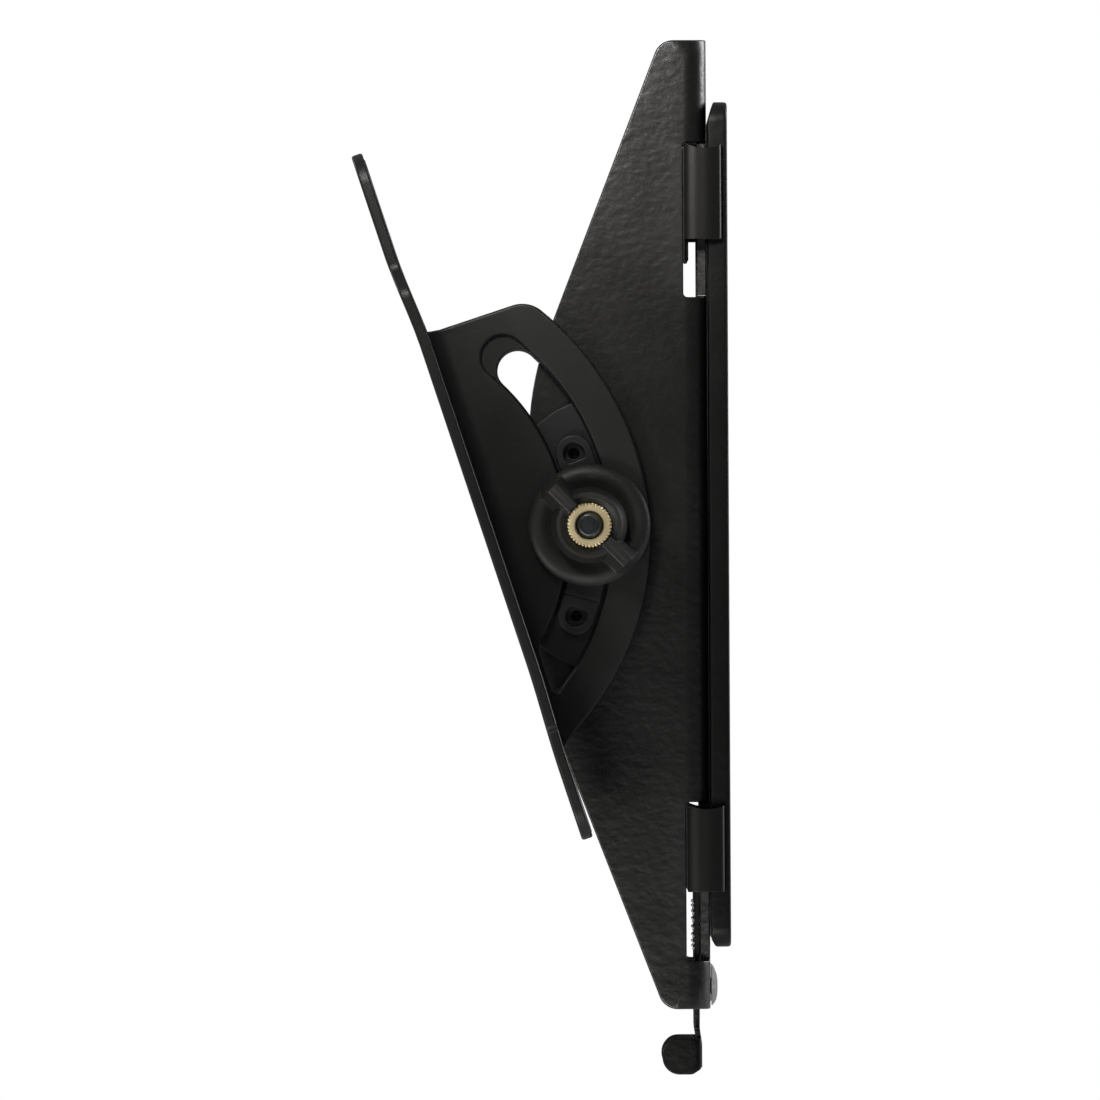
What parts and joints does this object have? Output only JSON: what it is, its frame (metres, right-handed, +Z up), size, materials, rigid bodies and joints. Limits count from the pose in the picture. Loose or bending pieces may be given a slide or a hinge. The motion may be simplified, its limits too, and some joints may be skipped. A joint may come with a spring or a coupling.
{
  "type": "tilting wall bracket",
  "caption": "Tilting wall bracket for a flat screen: wall plate with rails, two slotted arms, tilt brackets and clamp knobs.",
  "frame": {"origin": "centre of the wall plate's back face, on the wall", "axes": "+Y into the wall, the room on -Y; +Z up; X along the wall, +X the right arm as seen from the room"},
  "size_m": [0.232, 0.1149, 0.3165],
  "materials": {
    "powder_coat": "black powder coat, fine orange peel, satin",
    "plastic": "black moulded nylon, fine grain",
    "rubber": "black rubber",
    "zinc_steel": "zinc plated",
    "brass": "machined and knurled"
  },
  "bodies": {
    "wall": {"wall_plate": "powder_coat", "top_rail": "powder_coat", "bottom_rail": "powder_coat", "top_rail_rivet_left": "zinc_steel", "top_rail_rivet_centre": "zinc_steel", "top_rail_rivet_right": "zinc_steel", "bottom_rail_rivet_left": "zinc_steel", "bottom_rail_rivet_centre": "zinc_steel", "bottom_rail_rivet_right": "zinc_steel", "right_top_rail_cap": "plastic", "left_top_rail_cap": "plastic", "right_bottom_rail_cap": "plastic", "left_bottom_rail_cap": "plastic"},
    "right_arm": {"right_arm_channel": "powder_coat", "right_guide_plate": "plastic", "right_slider_key": "plastic", "right_guide_rivet_upper": "zinc_steel", "right_guide_rivet_lower": "zinc_steel", "right_carriage_bolt": "zinc_steel", "right_bumper": "rubber", "right_latch_stud_inner": "zinc_steel", "right_latch_stud_outer": "zinc_steel", "right_latch_spring": "zinc_steel"},
    "right_bracket": {"right_tilt_bracket": "powder_coat"},
    "right_washer": {"right_clamp_washer": "zinc_steel"},
    "right_knob": {"right_knob": "plastic", "right_knob_insert": "brass"},
    "right_latch": {"right_latch": "powder_coat"},
    "left_arm": {"left_arm_channel": "powder_coat", "left_guide_plate": "plastic", "left_slider_key": "plastic", "left_guide_rivet_upper": "zinc_steel", "left_guide_rivet_lower": "zinc_steel", "left_carriage_bolt": "zinc_steel", "left_bumper": "rubber", "left_latch_stud_inner": "zinc_steel", "left_latch_stud_outer": "zinc_steel", "left_latch_spring": "zinc_steel"},
    "left_bracket": {"left_tilt_bracket": "powder_coat"},
    "left_washer": {"left_clamp_washer": "zinc_steel"},
    "left_knob": {"left_knob": "plastic", "left_knob_insert": "brass"},
    "left_latch": {"left_latch": "powder_coat"}
  },
  "joints": [
    {"name": "right_arm_shift", "type": "slide", "parent": "wall", "child": "right_arm", "axis": [1, 0, 0], "range_m": [-0.04, 0.001]},
    {"name": "right_tilt", "type": "hinge", "parent": "right_arm", "child": "right_bracket", "pos_m": [0.0797, -0.1135, -0.0035], "axis": [1, 0, 0], "range_deg": [-25.4, 1.5]},
    {"name": "right_washer_lift", "type": "slide", "parent": "right_arm", "child": "right_washer", "axis": [1, 0, 0], "range_m": [0, 0.0025]},
    {"name": "right_knob_turn", "type": "hinge", "parent": "right_washer", "child": "right_knob", "pos_m": [0.0893, -0.0427, 0], "axis": [1, 0, 0], "range_deg": [0, 720]},
    {"name": "right_latch_pull", "type": "slide", "parent": "right_arm", "child": "right_latch", "axis": [0, 0, -1], "range_m": [0, 0.008], "stiffness_N_per_m": 250, "springref_m": -0.004, "deforming": ["right_latch_spring"]},
    {"name": "left_arm_shift", "type": "slide", "parent": "wall", "child": "left_arm", "axis": [-1, 0, 0], "range_m": [-0.04, 0.001]},
    {"name": "left_tilt", "type": "hinge", "parent": "left_arm", "child": "left_bracket", "pos_m": [-0.0797, -0.1135, -0.0035], "axis": [1, 0, 0], "range_deg": [-25.4, 1.5]},
    {"name": "left_washer_lift", "type": "slide", "parent": "left_arm", "child": "left_washer", "axis": [-1, 0, 0], "range_m": [0, 0.0025]},
    {"name": "left_knob_turn", "type": "hinge", "parent": "left_washer", "child": "left_knob", "pos_m": [-0.0893, -0.0427, 0], "axis": [-1, 0, 0], "range_deg": [0, 720]},
    {"name": "left_latch_pull", "type": "slide", "parent": "left_arm", "child": "left_latch", "axis": [0, 0, -1], "range_m": [0, 0.008], "stiffness_N_per_m": 250, "springref_m": -0.004, "deforming": ["left_latch_spring"]}
  ],
  "couplings": [
    {"joint": "right_knob_turn", "follows": "right_washer_lift", "rad_per_m": 5026.5},
    {"joint": "left_knob_turn", "follows": "left_washer_lift", "rad_per_m": 5026.5}
  ]
}
